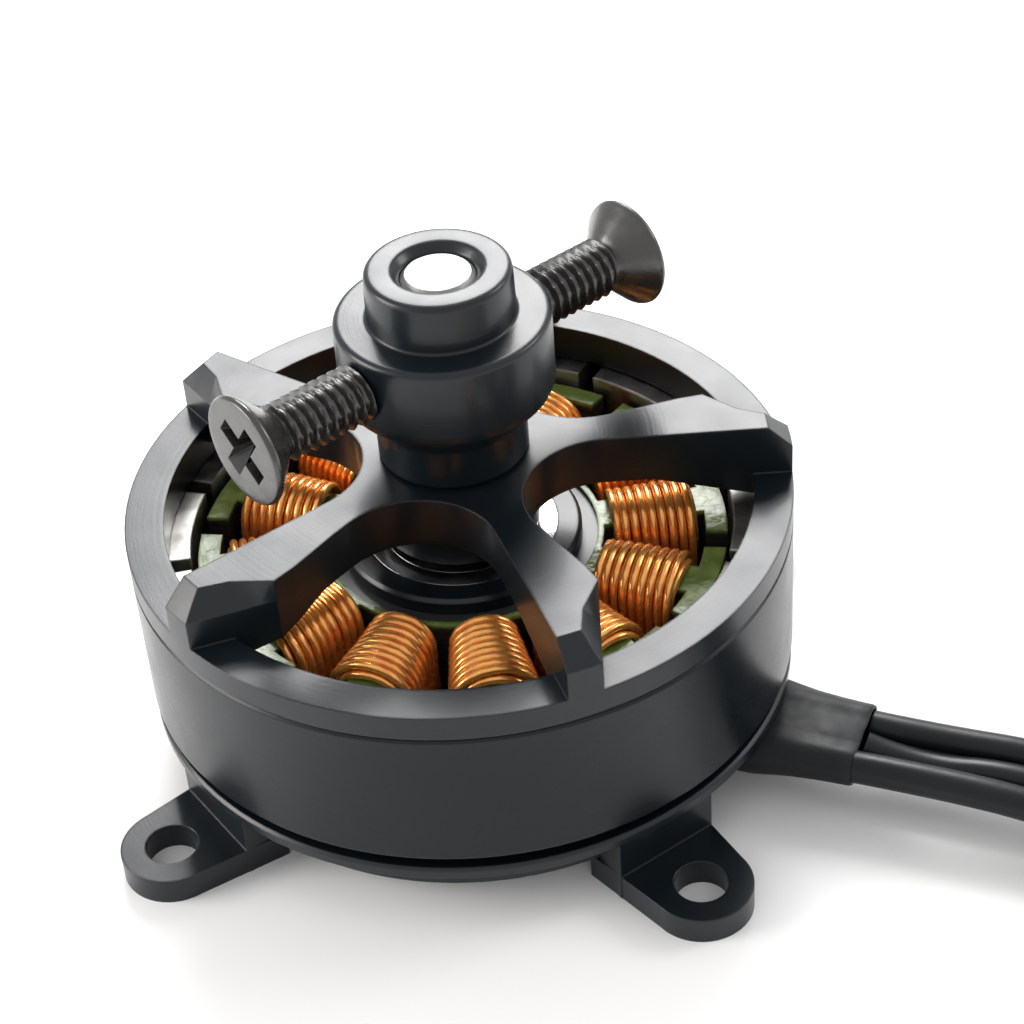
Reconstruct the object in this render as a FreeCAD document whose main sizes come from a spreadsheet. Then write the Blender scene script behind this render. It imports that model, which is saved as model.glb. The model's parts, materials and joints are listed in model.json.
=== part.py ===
"""Brushless outrunner motor with a prop saver and three leads. Lengths are in millimetres.

The motor stands on the four lugs of its base. The origin is on the motor's axis, level with the
lugs' lower faces, and +Z points up the shaft. The three leads leave the base side by side, run out
to a small tied coil and end in bullet connectors.
"""
import FreeCAD, Part
import math
import os
import re
import Sketcher

# The driving dimensions: a radius, height or width in millimetres, an angle in degrees, or a count.
SIZES = {
    # Shaft, its retaining clip and its washers.
    "shaft_radius": 1.5,
    "shaft_foot": 0.45,
    "shaft_tip": 22.45,
    "shaft_bevel": 0.2,
    "clip_groove_radius": 1.2,
    "clip_groove_low": 0.8,
    "clip_groove_top": 1.15,
    "clip_radius": 2.6,
    "clip_low": 0.85,
    "clip_top": 1.1,
    "clip_mouth": 0.85,
    "washer_bore": 1.52,
    "washer_radius": 2.2,
    "lower_washer_low": 1.2,
    "lower_washer_top": 1.5,
    "thrust_washer_low": 10.1,
    "thrust_washer_top": 10.4,
    # Ball bearings, 3 x 8 x 3.
    "bearing_radius": 4.0,
    "bearing_width": 3.0,
    "lower_bearing_low": 1.55,
    "upper_bearing_low": 7.05,
    "race_inner_top": 2.3,
    "race_outer_bore": 3.2,
    "ball_pitch": 2.75,
    "ball_radius": 0.7,
    "ball_groove": 0.73,
    "ball_count": 7,
    "ball_pocket": 0.74,
    "cage_bore": 2.5,
    "cage_radius": 3.0,
    "cage_half": 0.95,
    "shield_bore": 2.38,
    "shield_wall": 0.15,
    # Mounting base: a shallow cup with a flange, a bearing tube and four lugs.
    "cup_low": 1.35,
    "cup_floor": 2.15,
    "cup_bore": 11.2,
    "cup_radius": 12.2,
    "flange_radius": 13.65,
    "flange_low": 3.15,
    "flange_top": 3.75,
    "flange_bevel": 0.12,
    "tube_radius": 5.0,
    "tube_top": 10.05,
    "tube_bevel": 0.15,
    "tube_waist": 3.5,
    "seat_radius": 5.6,
    "seat_height": 3.35,
    "lug_count": 4,
    "lug_turn": 45,
    "lug_pitch": 15.4,
    "lug_end": 2.1,
    "lug_thick": 1.2,
    "lug_root": 11.4,
    "lug_root_half": 2.5,
    "lug_hole": 1.09,
    "post_inner": 11.4,
    "post_outer": 13.2,
    "post_half": 2.35,
    "post_top": 3.35,
    "lead_turn": -12,
    "slot_inner": 11.0,
    "slot_outer": 14.5,
    "slot_half": 2.85,
    # Stator and its coils.
    "stator_turn": 17.3,
    "stator_radius": 11.0,
    "stator_low": 3.35,
    "stator_top": 9.35,
    "yoke_radius": 5.9,
    "tooth_count": 12,
    "tooth_half": 0.8,
    "shoe_bore": 10.1,
    "slot_mouth": 0.55,
    "coat_wall": 0.2,
    "coat_bore": 5.65,
    "coil_inner": 6.0,
    "coil_outer": 9.9,
    "coil_clear": 0.04,
    "coil_wall": 0.78,
    "coil_inner_half": 1.45,
    "coil_outer_half": 2.0,
    "coil_round": 1.2,
    # Bell: cap with five spokes, flux ring and magnets.
    "bell_radius": 13.7,
    "bell_low": 4.3,
    "seam_height": 10.65,
    "bell_bevel": 0.12,
    "rim_bore": 12.1,
    "rim_top": 11.85,
    "spigot_radius": 12.48,
    "spigot_low": 10.25,
    "hub_low": 10.45,
    "boss_radius": 3.3,
    "spider_low": 11.95,
    "spider_bend": 8.0,
    "spider_rim_low": 10.85,
    "spider_top": 14.15,
    "tip_bevel_low": 13.15,
    "tip_bevel_radius": 12.7,
    "spoke_count": 5,
    "spoke_turn": 11.5,
    "spoke_pitch": 72,
    "window_round": 3.38,
    "window_middle": 7.1,
    "window_turn": 39.4,
    "beyond": 16.0,
    "flux_bore": 12.5,
    "magnet_bore": 11.25,
    "magnet_radius": 12.45,
    "magnet_low": 4.35,
    "magnet_top": 10.15,
    "magnet_span": 22,
    "magnet_pitch": 25.7142857,
    "magnet_turn": 6.0,
    "pole_pairs": 7,
    # Prop saver and its two screws.
    "neck_radius": 3.05,
    "neck_top": 16.1,
    "saver_radius": 4.3,
    "flare_top": 17.3,
    "saver_top": 20.6,
    "saver_bevel": 0.3,
    "collar_radius": 2.9,
    "collar_fillet": 0.25,
    "collar_top": 22.7,
    "collar_bevel": 0.2,
    "mouth_radius": 1.75,
    "mouth_low": 22.45,
    "screw_turn": 48.7,
    "screw_height": 18.95,
    "screw_tip": 1.6,
    "screw_point": 0.35,
    "thread_radius": 1.25,
    "head_radius": 2.28,
    "head_neck": 8.5,
    "head_rim": 9.5,
    "head_face": 9.75,
    "recess_depth": 1.3,
    "recess_half": 1.3,
    "recess_blade": 0.24,
    # Leads, the sleeve that gathers them, the coil's tie and the bullet connectors.
    "lead_radius": 0.675,
    "lead_spacing": 1.45,
    "sleeve_start": 11.3,
    "sleeve_end": 17.3,
    "sleeve_half": 2.22,
    "sleeve_waist": 15.2,
    "sleeve_waist_half": 2.32,
    "sleeve_root": 13.2,
    "sleeve_root_half": 2.68,
    "sleeve_thick": 1.8,
    "sleeve_height": 2.2,
    "coil_along": 37.0,
    "coil_aside": -8.1,
    "turn_radius": 8.1,
    "coil_low": 0.45,
    "coil_top": 3.15,
    "tie_turn": 213,
    "tie_wall": 0.33,
    "tie_half": 1.0,
    "tie_inner": 5.85,
    "tie_outer": 10.27,
    "tie_low": 0.43,
    "tie_top": 3.17,
    "bullet_radius": 1.0,
    "bullet_cup": 4.0,
    "bullet_step": 4.6,
    "bullet_neck": 0.75,
    "bullet_bulge": 1.05,
    "bullet_bulge_at": 8.0,
    "bullet_shoulder": 11.0,
    "bullet_length": 12.0,
    "bullet_tip": 0.45,
    "shrink_radius": 1.25,
    "shrink_back": 2.6,
    "shrink_front": 4.4,
    "shrink_taper": 0.8,
}

# Each lead's route by hand, as (along the leads, aside to the left, height) in millimetres: from
# the sleeve's mouth to the coil, and from the coil to the connector.
LEAD_ROUTES = {
    "lead_a": [(17.3, -1.42, 2.30), (20.6, -1.43, 2.42), (25.0, -1.52, 2.35), (30.1, -1.50, 1.125),
               (35.1, -1.45, 1.125)],
    "lead_b": [(17.3, 0.0, 2.10), (19.7, 0.02, 1.42), (23.6, 0.08, 2.18), (29.4, 0.05, 1.125),
               (35.1, 0.0, 1.125)],
    "lead_c": [(17.3, 1.42, 2.00), (20.3, 1.43, 1.97), (24.6, 1.52, 2.18), (29.9, 1.50, 1.125),
               (35.1, 1.45, 1.125)],
    "lead_a_tail": [(41.70, -12.80, 2.475), (38.5, -15.9, 2.4), (35.2, -18.9, 1.6), (31.5, -21.2, 1.27)],
    "lead_b_tail": [(42.73, -13.83, 2.475), (40.0, -17.0, 2.0), (37.3, -20.2, 1.27), (34.5, -23.2, 1.27)],
    "lead_c_tail": [(43.75, -14.85, 2.475), (42.15, -17.15, 1.9), (40.6, -19.6, 1.27), (39.2, -22.0, 1.27)],
}

# A spoke's flanks in plan, as (along, across) its middle line in millimetres. Each window lies
# between the left flank of one spoke and the right flank of the next.
LEFT_FLANK = [("6.15", "1.19"), ("7.0", "1.37"), ("9.3", "1.95"), ("10.3", "2.1"), ("beyond", "0")]
RIGHT_FLANK = [("beyond", "-0.6"), ("10.3", "-0.5"), ("5.98", "-0.45")]
# The leaning left flank of a spoke's tip, at the foot of the tip's bevel and at the top face.
TIP_FLANK_FOOT = [("10.3", "2.1"), ("11.6", "1.62"), ("12.7", "1.22"), ("14.4", "0.6"), ("14.4", "4.0"),
                  ("10.3", "4.0")]
TIP_FLANK_TOP = [("10.3", "2.1"), ("11.6", "0.95"), ("12.7", "0.45"), ("14.4", "-0.3"), ("14.4", "4.0"),
                 ("10.3", "4.0")]

BEND_SHARE = 0.45       # how much of the shorter run an arc takes at each end
NEARLY_ALONG = 0.3      # the sine of the largest angle at which an edge still runs in a direction
UP = FreeCAD.Vector(0, 0, 1)
MIDDLE = FreeCAD.Vector(0, 0, 0)

doc = FreeCAD.newDocument("outrunner_motor")
sheet = doc.addObject("Spreadsheet::Sheet", "Sizes")
nodes = []


def fill_sheet():
    """Write every driving dimension and its alias to the spreadsheet."""
    for row, (alias, amount) in enumerate(SIZES.items(), start=1):
        sheet.set(f"A{row}", alias)
        sheet.set(f"B{row}", str(amount))
        sheet.setAlias(f"B{row}", alias)
    doc.recompute()


def size(text):
    """The number that an expression in the sheet's names stands for."""
    return float(sheet.evalExpression(str(text)))


def bound(text):
    """The same expression with each of its names pointing at the sheet."""
    return re.sub(r"\b(?!cos\b|sin\b)[a-z_]{4,}\b", r"Sizes.\g<0>", str(text))


def rotated(along, across, turn):
    """Expressions for a point given along and across a direction turned about the axis."""
    x = f"({along}) * cos({turn}) - ({across}) * sin({turn})"
    y = f"({along}) * sin({turn}) + ({across}) * cos({turn})"
    return x, y


# ---- Sketches and features ----------------------------------------------------------------------

def new_body(name):
    """A named body, listed as a sub-part."""
    body = doc.addObject("PartDesign::Body", name)
    body.Label = name
    nodes.append(body)
    return body


def origin_feature(body, role):
    """A plane or axis of the body's own origin."""
    return [item for item in body.Origin.OriginFeatures if item.Role == role][0]


def new_sketch(body, name, plane, turn="0", lift="0"):
    """A sketch on an origin plane, turned within it and lifted along its normal."""
    sketch = body.newObject("Sketcher::SketchObject", name)
    sketch.AttachmentSupport = [(origin_feature(body, plane), "")]
    sketch.MapMode = "FlatFace"
    sketch.AttachmentOffset = FreeCAD.Placement(MIDDLE, FreeCAD.Rotation(UP, size(turn)))
    sketch.setExpression("AttachmentOffset.Base.z", bound(lift))
    sketch.setExpression("AttachmentOffset.Rotation.Angle", bound(turn))
    return sketch


def pin(sketch, piece, spot, x, y):
    """Hold one point of a sketch's geometry at a place given by two expressions."""
    for kind, text in (("DistanceX", x), ("DistanceY", y)):
        row = sketch.addConstraint(Sketcher.Constraint(kind, piece, spot, size(text)))
        sketch.setExpression(f"Constraints[{row}]", bound(text))


def add_outline(sketch, corners):
    """A closed outline of straight sides. Each corner is a pair of expressions."""
    first = sketch.GeometryCount
    count = len(corners)
    spots = [FreeCAD.Vector(size(x), size(y), 0) for x, y in corners]
    for here, there in zip(spots, spots[1:] + spots[:1]):
        sketch.addGeometry(Part.LineSegment(here, there), False)
    for side in range(count):
        after = first + (side + 1) % count
        sketch.addConstraint(Sketcher.Constraint("Coincident", first + side, 2, after, 1))
    for side, (x, y) in enumerate(corners):
        pin(sketch, first + side, 1, x, y)


def add_circle(sketch, x, y, radius):
    """A circle whose middle and radius are expressions."""
    middle = FreeCAD.Vector(size(x), size(y), 0)
    piece = sketch.addGeometry(Part.Circle(middle, UP, size(radius)), False)
    pin(sketch, piece, 3, x, y)
    row = sketch.addConstraint(Sketcher.Constraint("Radius", piece, size(radius)))
    sketch.setExpression(f"Constraints[{row}]", bound(radius))


def add_box(sketch, left, right, low, top):
    """A rectangle between two pairs of sides."""
    add_outline(sketch, [(left, low), (right, low), (right, top), (left, top)])


def revolve(body, name, corners, kind="PartDesign::Revolution", angle="360"):
    """Turn a profile of (radius, height) corners about Z, to add it or to cut it away."""
    sketch = new_sketch(body, name + "_profile", "XZ_Plane")
    add_outline(sketch, corners)
    return revolve_sketch(body, name, sketch, kind, "V_Axis", angle)


def revolve_sketch(body, name, sketch, kind, axis, angle="360"):
    """Turn a sketch about one of its own axes."""
    doc.recompute()
    feature = body.newObject(kind, name)
    feature.Profile = sketch
    feature.ReferenceAxis = (sketch, [axis])
    feature.Midplane = True
    feature.setExpression("Angle", bound(angle))
    doc.recompute()
    return feature


def pad(body, name, sketch, length, both_ways=False):
    """Add a sketch's outline along its normal."""
    feature = body.newObject("PartDesign::Pad", name)
    feature.Profile = sketch
    feature.Midplane = both_ways
    feature.setExpression("Length", bound(length))
    doc.recompute()
    return feature


def pocket(body, name, sketch, length, both_ways=False):
    """Cut a sketch's outline away against its normal, and make sure that something went."""
    before = body.Shape.Volume
    feature = body.newObject("PartDesign::Pocket", name)
    feature.Profile = sketch
    feature.Midplane = both_ways
    feature.setExpression("Length", bound(length))
    doc.recompute()
    if not body.Shape.Volume < before:
        raise RuntimeError(f"{body.Label}: {name} cuts nothing")
    return feature


def repeat(body, name, features, count):
    """Repeat features evenly round the Z axis."""
    pattern = body.newObject("PartDesign::PolarPattern", name)
    pattern.Originals = features
    pattern.Axis = (origin_feature(body, "Z_Axis"), [""])
    pattern.Angle = 360
    pattern.Occurrences = int(size(count))
    pattern.setExpression("Occurrences", bound(count))
    body.Tip = pattern
    doc.recompute()
    return pattern


def round_edges(body, name, direction, radius):
    """Round the body's straight edges that run more or less in a direction."""
    base = body.Tip
    edges = []
    for number, edge in enumerate(base.Shape.Edges, start=1):
        tangent = edge.tangentAt(edge.FirstParameter)
        if isinstance(edge.Curve, Part.Line) and tangent.cross(direction).Length < NEARLY_ALONG:
            edges.append(f"Edge{number}")
    feature = body.newObject("PartDesign::Fillet", name)
    feature.Base = (base, edges)
    feature.setExpression("Radius", bound(radius))
    doc.recompute()


def place(piece, x="0", y="0", turn="0"):
    """Move a piece over the floor and turn it about Z."""
    piece.Placement = FreeCAD.Placement(MIDDLE, FreeCAD.Rotation(UP, size(turn)))
    piece.setExpression("Placement.Base.x", bound(x))
    piece.setExpression("Placement.Base.y", bound(y))
    piece.setExpression("Placement.Rotation.Angle", bound(turn))


def turned(name, corners):
    """A sub-part that is one turned profile."""
    body = new_body(name)
    revolve(body, "turning", corners)
    return body


def ring(name, bore, radius, low, top):
    """A plain ring."""
    return turned(name, [(bore, low), (radius, low), (radius, top), (bore, top)])


# ---- Base and shaft -----------------------------------------------------------------------------

def make_base():
    """Cup with flange and bearing tube, posts and lugs below, and a slot for the leads."""
    body = new_body("mount_base")
    revolve(body, "cup", [
        ("bearing_radius", "cup_low"),
        ("cup_radius - flange_bevel", "cup_low"),
        ("cup_radius", "cup_low + flange_bevel"),
        ("cup_radius", "flange_low"),
        ("flange_radius - flange_bevel", "flange_low"),
        ("flange_radius", "flange_low + flange_bevel"),
        ("flange_radius", "flange_top - flange_bevel"),
        ("flange_radius - flange_bevel", "flange_top"),
        ("cup_bore", "flange_top"),
        ("cup_bore", "cup_floor"),
        ("seat_radius", "cup_floor"),
        ("seat_radius", "seat_height"),
        ("tube_radius", "seat_height"),
        ("tube_radius", "tube_top - tube_bevel"),
        ("tube_radius - tube_bevel", "tube_top"),
        ("bearing_radius", "tube_top"),
        ("bearing_radius", "upper_bearing_low"),
        ("tube_waist", "upper_bearing_low"),
        ("tube_waist", "lower_bearing_low + bearing_width"),
        ("bearing_radius", "lower_bearing_low + bearing_width"),
    ])
    post_plan = new_sketch(body, "post_plan", "XY_Plane", turn="lug_turn")
    add_box(post_plan, "post_inner", "post_outer", "-post_half", "post_half")
    post = pad(body, "post", post_plan, "post_top")
    lug_plan = new_sketch(body, "lug_plan", "XY_Plane", turn="lug_turn")
    add_outline(lug_plan, [
        ("lug_root", "-lug_root_half"),
        ("lug_pitch", "-lug_end"),
        ("lug_pitch", "lug_end"),
        ("lug_root", "lug_root_half"),
    ])
    lug = pad(body, "lug", lug_plan, "lug_thick")
    end_plan = new_sketch(body, "lug_end_plan", "XY_Plane", turn="lug_turn")
    add_circle(end_plan, "lug_pitch", "0", "lug_end")
    lug_end = pad(body, "lug_end", end_plan, "lug_thick")
    hole_plan = new_sketch(body, "hole_plan", "XY_Plane", turn="lug_turn", lift="lug_thick")
    add_circle(hole_plan, "lug_pitch", "0", "lug_hole")
    hole = pocket(body, "lug_hole", hole_plan, "lug_thick")
    repeat(body, "lugs", [post, lug, lug_end, hole], "lug_count")
    slot_plan = new_sketch(body, "slot_plan", "XY_Plane", turn="lead_turn", lift="flange_low")
    add_box(slot_plan, "slot_inner", "slot_outer", "-slot_half", "slot_half")
    pocket(body, "lead_slot", slot_plan, "flange_low - cup_low")


def make_shaft():
    """Ground shaft with a bevel at each end and a groove for its clip."""
    turned("shaft", [
        ("0", "shaft_foot"),
        ("shaft_radius - shaft_bevel", "shaft_foot"),
        ("shaft_radius", "shaft_foot + shaft_bevel"),
        ("shaft_radius", "clip_groove_low"),
        ("clip_groove_radius", "clip_groove_low"),
        ("clip_groove_radius", "clip_groove_top"),
        ("shaft_radius", "clip_groove_top"),
        ("shaft_radius", "shaft_tip - shaft_bevel"),
        ("shaft_radius - shaft_bevel", "shaft_tip"),
        ("0", "shaft_tip"),
    ])
    ring("shim_washer", "washer_bore", "washer_radius", "lower_washer_low", "lower_washer_top")
    ring("thrust_washer", "washer_bore", "washer_radius", "thrust_washer_low", "thrust_washer_top")
    clip = ring("shaft_clip", "clip_groove_radius", "clip_radius", "clip_low", "clip_top")
    mouth_plan = new_sketch(clip, "mouth_plan", "XY_Plane", lift="clip_top")
    add_box(mouth_plan, "0", "clip_radius + clip_mouth", "-clip_mouth", "clip_mouth")
    pocket(clip, "clip_mouth", mouth_plan, "clip_top - clip_low")


def ball_groove(body, middle):
    """Cut the ball track of a race, at a height given by an expression."""
    sketch = new_sketch(body, "track_profile", "XZ_Plane")
    add_circle(sketch, "ball_pitch", middle, "ball_groove")
    revolve_sketch(body, "track", sketch, "PartDesign::Groove", "V_Axis")


def make_balls(name, middle):
    """The balls of one bearing, as one group of separate solids."""
    balls = []
    for number in range(int(size("ball_count"))):
        ball = doc.addObject("Part::Sphere", f"{name}_{number + 1}")
        x, y = rotated("ball_pitch", "0", f"{number} * 360 / ball_count")
        ball.setExpression("Radius", bound("ball_radius"))
        ball.setExpression("Placement.Base.x", bound(x))
        ball.setExpression("Placement.Base.y", bound(y))
        ball.setExpression("Placement.Base.z", bound(middle))
        balls.append(ball)
    group = doc.addObject("Part::Compound", name)
    group.Label = name
    group.Links = balls
    nodes.append(group)


def make_bearing(prefix, low):
    """One shielded ball bearing: two races, balls, cage and two shields."""
    top = f"{low} + bearing_width"
    middle = f"{low} + bearing_width / 2"
    outer = ring(f"{prefix}_outer_race", "race_outer_bore", "bearing_radius", low, top)
    ball_groove(outer, middle)
    inner = ring(f"{prefix}_inner_race", "shaft_radius", "race_inner_top", low, top)
    ball_groove(inner, middle)
    cage = ring(f"{prefix}_cage", "cage_bore", "cage_radius", f"{middle} - cage_half",
                f"{middle} + cage_half")
    hole_plan = new_sketch(cage, "ball_pocket_plan", "YZ_Plane", lift="cage_radius + cage_half")
    add_circle(hole_plan, "0", middle, "ball_pocket")
    hole = pocket(cage, "ball_pocket", hole_plan, "cage_radius")
    repeat(cage, "ball_pockets", [hole], "ball_count")
    make_balls(f"{prefix}_balls", middle)
    shields = new_body(f"{prefix}_shields")
    shields.AllowCompound = True
    revolve(shields, "lower_shield", [
        ("shield_bore", low),
        ("race_outer_bore", low),
        ("race_outer_bore", f"{low} + shield_wall"),
        ("shield_bore", f"{low} + shield_wall"),
    ])
    revolve(shields, "upper_shield", [
        ("shield_bore", f"{top} - shield_wall"),
        ("race_outer_bore", f"{top} - shield_wall"),
        ("race_outer_bore", top),
        ("shield_bore", top),
    ])


# ---- Stator -------------------------------------------------------------------------------------

def toothed_plate(name, bore, low, top):
    """The stator's plan between two heights: yoke, teeth, and shoes with slots between them."""
    body = ring(name, bore, "yoke_radius", low, top)
    tooth_plan = new_sketch(body, "tooth_plan", "XY_Plane", lift=low)
    add_box(tooth_plan, "(yoke_radius + coat_bore) / 2", "(shoe_bore + stator_radius) / 2",
            "-tooth_half", "tooth_half")
    tooth = pad(body, "tooth", tooth_plan, f"({top}) - ({low})")
    repeat(body, "teeth", [tooth], "tooth_count")
    revolve(body, "shoe_ring", [
        ("shoe_bore", low),
        ("stator_radius", low),
        ("stator_radius", top),
        ("shoe_bore", top),
    ])
    gap_plan = new_sketch(body, "gap_plan", "XY_Plane", turn="180 / tooth_count", lift=top)
    add_box(gap_plan, "shoe_bore - slot_mouth", "stator_radius + slot_mouth", "-slot_mouth", "slot_mouth")
    gap = pocket(body, "shoe_gap", gap_plan, f"({top}) - ({low})")
    repeat(body, "shoe_gaps", [gap], "tooth_count")
    place(body, turn="stator_turn")


def make_coil(number):
    """One coil: a closed band of windings round its tooth."""
    body = new_body(f"coil_{number + 1:02d}")
    inner_half = "tooth_half + coil_clear"
    inner_low = "stator_low - coat_wall - coil_clear"
    inner_top = "stator_top + coat_wall + coil_clear"
    band_plan = new_sketch(body, "band_plan", "XY_Plane", lift=f"{inner_low} - coil_wall")
    add_outline(band_plan, [
        ("coil_inner", "-coil_inner_half"),
        ("coil_outer", "-coil_outer_half"),
        ("coil_outer", "coil_outer_half"),
        ("coil_inner", "coil_inner_half"),
    ])
    pad(body, "band", band_plan, f"({inner_top}) - ({inner_low}) + 2 * coil_wall")
    round_edges(body, "band_corners", FreeCAD.Vector(1, 0, 0), "coil_round")
    hole_plan = new_sketch(body, "tooth_hole_plan", "YZ_Plane", lift="coil_outer")
    add_box(hole_plan, f"-({inner_half})", inner_half, inner_low, inner_top)
    pocket(body, "tooth_hole", hole_plan, "coil_outer - coil_inner")
    place(body, turn=f"stator_turn + {number} * 360 / tooth_count")


def make_stator():
    """Laminated core, its two insulating coats and its twelve coils."""
    toothed_plate("stator_core", "tube_radius", "stator_low", "stator_top")
    toothed_plate("stator_coat_lower", "coat_bore", "stator_low - coat_wall", "stator_low")
    toothed_plate("stator_coat_upper", "coat_bore", "stator_top", "stator_top + coat_wall")
    for number in range(int(size("tooth_count"))):
        make_coil(number)


# ---- Bell ---------------------------------------------------------------------------------------

def make_bell_cap():
    """Cap with five curved spokes between its hub and its rim."""
    body = new_body("bell_cap")
    revolve(body, "spider_blank", [
        ("shaft_radius", "hub_low"),
        ("boss_radius - bell_bevel", "hub_low"),
        ("boss_radius", "hub_low + bell_bevel"),
        ("boss_radius", "spider_low"),
        ("spider_bend", "spider_low"),
        ("rim_bore", "spider_rim_low"),
        ("bell_radius", "spider_rim_low"),
        ("bell_radius", "tip_bevel_low"),
        ("tip_bevel_radius", "spider_top"),
        ("shaft_radius", "spider_top"),
    ])
    through = "spider_top - hub_low"
    end_plan = new_sketch(body, "window_end_plan", "XY_Plane", lift="spider_top")
    end_x, end_y = rotated("window_middle", "0", "spoke_turn + window_turn")
    add_circle(end_plan, end_x, end_y, "window_round")
    window_end = pocket(body, "window_end", end_plan, through)
    window_plan = new_sketch(body, "window_plan", "XY_Plane", lift="spider_top")
    far_corner = rotated("beyond * 1.3", "0", "spoke_turn + spoke_pitch / 2")
    left = [rotated(along, across, "spoke_turn") for along, across in LEFT_FLANK]
    right = [rotated(along, across, "spoke_turn + spoke_pitch") for along, across in RIGHT_FLANK]
    add_outline(window_plan, left + [far_corner] + right)
    window = pocket(body, "window", window_plan, through)
    flank = cut_spoke_flank(body)
    repeat(body, "windows", [window_end, window, flank], "spoke_count")
    revolve(body, "rim", [
        ("rim_bore", "spigot_low"),
        ("spigot_radius", "spigot_low"),
        ("spigot_radius", "seam_height"),
        ("bell_radius - bell_bevel", "seam_height"),
        ("bell_radius", "seam_height + bell_bevel"),
        ("bell_radius", "rim_top"),
        ("rim_bore", "rim_top"),
    ])


def cut_spoke_flank(body):
    """Lean the left flank of each spoke's tip back, from the bevel's foot to the top face."""
    low_plan = new_sketch(body, "flank_foot_plan", "XY_Plane", turn="spoke_turn", lift="tip_bevel_low")
    add_outline(low_plan, TIP_FLANK_FOOT)
    top_plan = new_sketch(body, "flank_top_plan", "XY_Plane", turn="spoke_turn", lift="spider_top")
    add_outline(top_plan, TIP_FLANK_TOP)
    doc.recompute()
    before = body.Shape.Volume
    cut = body.newObject("PartDesign::SubtractiveLoft", "leaning_flank")
    cut.Profile = low_plan
    cut.Sections = [top_plan]
    cut.Ruled = True
    doc.recompute()
    if not body.Shape.Volume < before:
        raise RuntimeError("the spoke's flank isn't cut")
    return cut


def make_flux_ring():
    """Steel ring that carries the magnets, bevelled at both ends."""
    turned("flux_ring", [
        ("flux_bore", "bell_low"),
        ("bell_radius - bell_bevel", "bell_low"),
        ("bell_radius", "bell_low + bell_bevel"),
        ("bell_radius", "seam_height - bell_bevel"),
        ("bell_radius - bell_bevel", "seam_height"),
        ("flux_bore", "seam_height"),
    ])


def make_magnets(name, turn):
    """Every other arc magnet, as one group of separate solids."""
    body = new_body(name)
    body.AllowCompound = True
    magnet = revolve(body, "magnet", [
        ("magnet_bore", "magnet_low"),
        ("magnet_radius", "magnet_low"),
        ("magnet_radius", "magnet_top"),
        ("magnet_bore", "magnet_top"),
    ], angle="magnet_span")
    repeat(body, "ring_of_magnets", [magnet], "pole_pairs")
    place(body, turn=turn)


def make_prop_saver():
    """Hub that grips the shaft and centres the propeller on its collar."""
    body = turned("prop_saver", [
        ("shaft_radius", "spider_top"),
        ("neck_radius", "spider_top"),
        ("neck_radius", "neck_top"),
        ("saver_radius", "flare_top"),
        ("saver_radius", "saver_top - saver_bevel"),
        ("saver_radius - saver_bevel", "saver_top"),
        ("collar_radius + collar_fillet", "saver_top"),
        ("collar_radius", "saver_top + collar_fillet"),
        ("collar_radius", "collar_top - collar_bevel"),
        ("collar_radius - collar_bevel", "collar_top"),
        ("mouth_radius", "collar_top"),
        ("shaft_radius", "mouth_low"),
    ])
    bore_plan = new_sketch(body, "screw_bore_plan", "YZ_Plane")
    add_circle(bore_plan, "0", "screw_height", "thread_radius")
    pocket(body, "screw_bores", bore_plan, "4 * saver_radius", both_ways=True)
    place(body, turn="screw_turn")


def make_prop_screws():
    """The two countersunk cross-recess screws that clamp the hub to the shaft."""
    body = new_body("prop_screws")
    body.AllowCompound = True
    profile = new_sketch(body, "screw_profile", "XZ_Plane")
    add_outline(profile, [
        ("screw_tip", "screw_height"),
        ("screw_tip", "screw_height + thread_radius - screw_point"),
        ("screw_tip + screw_point", "screw_height + thread_radius"),
        ("head_neck", "screw_height + thread_radius"),
        ("head_rim", "screw_height + head_radius"),
        ("head_face", "screw_height + head_radius"),
        ("head_face", "screw_height"),
    ])
    screw = turn_about_side(body, "screw", profile)
    cuts = [cut_recess(body, "recess_upright", "recess_blade", "recess_half"),
            cut_recess(body, "recess_level", "recess_half", "recess_blade")]
    repeat(body, "pair_of_screws", [screw] + cuts, "2")
    place(body, turn="screw_turn")


def turn_about_side(body, name, sketch):
    """Turn a screw's half profile about the profile's own lower side, which is the screw's axis."""
    doc.recompute()
    feature = body.newObject("PartDesign::Revolution", name)
    feature.Profile = sketch
    feature.ReferenceAxis = (sketch, ["Edge7"])
    feature.Angle = 360
    doc.recompute()
    return feature


def cut_recess(body, name, half_wide, half_high):
    """One blade of the cross recess in the screw's outer face."""
    plan = new_sketch(body, name + "_plan", "YZ_Plane", lift="head_face")
    add_box(plan, f"-{half_wide}", half_wide, f"screw_height - {half_high}", f"screw_height + {half_high}")
    return pocket(body, name, plan, "recess_depth")


# ---- Leads --------------------------------------------------------------------------------------

def lead_spot(point):
    """A route's point, given along, aside and up, in the motor's own axes."""
    along, aside, height = point
    x, y = rotated(along, aside, "lead_turn")
    return FreeCAD.Vector(size(x), size(y), height)


def rounded_path(spots, name):
    """Straight runs joined by tangent arcs, each as large as its two runs allow."""
    edges = []
    start = spots[0]
    length = 0.0
    for before, corner, after in zip(spots, spots[1:], spots[2:]):
        into = (corner - before).normalize()
        away = (after - corner).normalize()
        half_turn = into.getAngle(away) / 2
        reach = BEND_SHARE * min((corner - before).Length, (after - corner).Length)
        radius = reach / math.tan(half_turn)
        arc_start = corner - into * reach
        arc_end = corner + away * reach
        towards = (away - into).normalize()
        arc_middle = corner + towards * (radius / math.cos(half_turn) - radius)
        edges.append(Part.LineSegment(start, arc_start).toShape())
        edges.append(Part.Arc(arc_start, arc_middle, arc_end).toShape())
        print(f"{name}: bend radius {radius:.1f} mm")
        start = arc_end
    edges.append(Part.LineSegment(start, spots[-1]).toShape())
    return Part.Wire(edges)


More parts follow.
